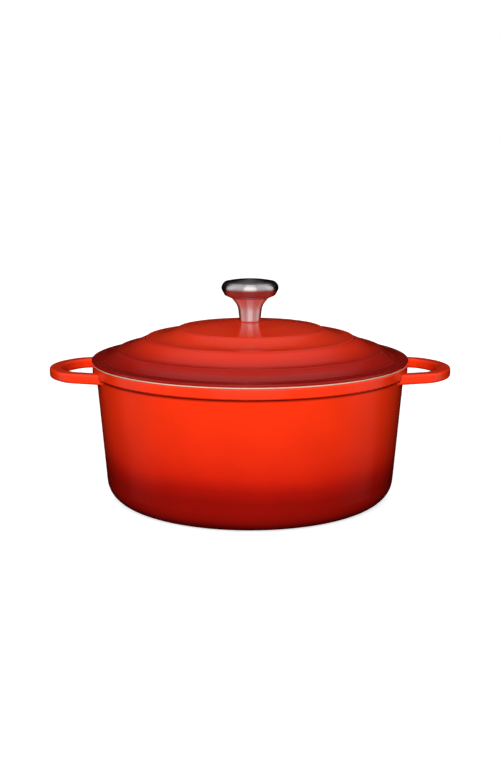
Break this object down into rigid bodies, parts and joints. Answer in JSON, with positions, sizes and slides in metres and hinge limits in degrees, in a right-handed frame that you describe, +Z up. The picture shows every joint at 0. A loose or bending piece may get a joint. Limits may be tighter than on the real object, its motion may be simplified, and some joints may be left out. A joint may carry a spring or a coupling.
{
  "type": "dutch oven",
  "caption": "Round enamelled cast iron dutch oven with loop handles and a stepped domed lid that lifts straight off by a steel mushroom knob.",
  "frame": {"origin": "on the floor, at the centre of the pot's foot ring", "axes": "+Z up along the pot's axis, +X towards one loop handle, -Y towards the viewer"},
  "size_m": [0.3464, 0.272, 0.1899],
  "materials": {
    "cast_iron": "matte",
    "orange_enamel": "gloss",
    "cream_enamel": "gloss",
    "knob_steel": "satin",
    "fastener_steel": "satin"
  },
  "bodies": {
    "pot": {"pot_casting": "cast_iron", "pot_exterior_enamel": "orange_enamel", "pot_base_enamel": "orange_enamel", "pot_interior_enamel": "cream_enamel"},
    "lid": {"lid_casting": "cast_iron", "lid_exterior_enamel": "orange_enamel", "lid_interior_enamel": "cream_enamel", "knob_cap": "knob_steel", "knob_stem": "knob_steel", "knob_insert": "fastener_steel", "knob_screw": "fastener_steel", "flat_washer": "fastener_steel", "lock_washer": "fastener_steel"}
  },
  "joints": [
    {"name": "lid_lift", "type": "slide", "parent": "pot", "child": "lid", "axis": [0, 0, 1], "range_m": [0, 0.15]}
  ]
}
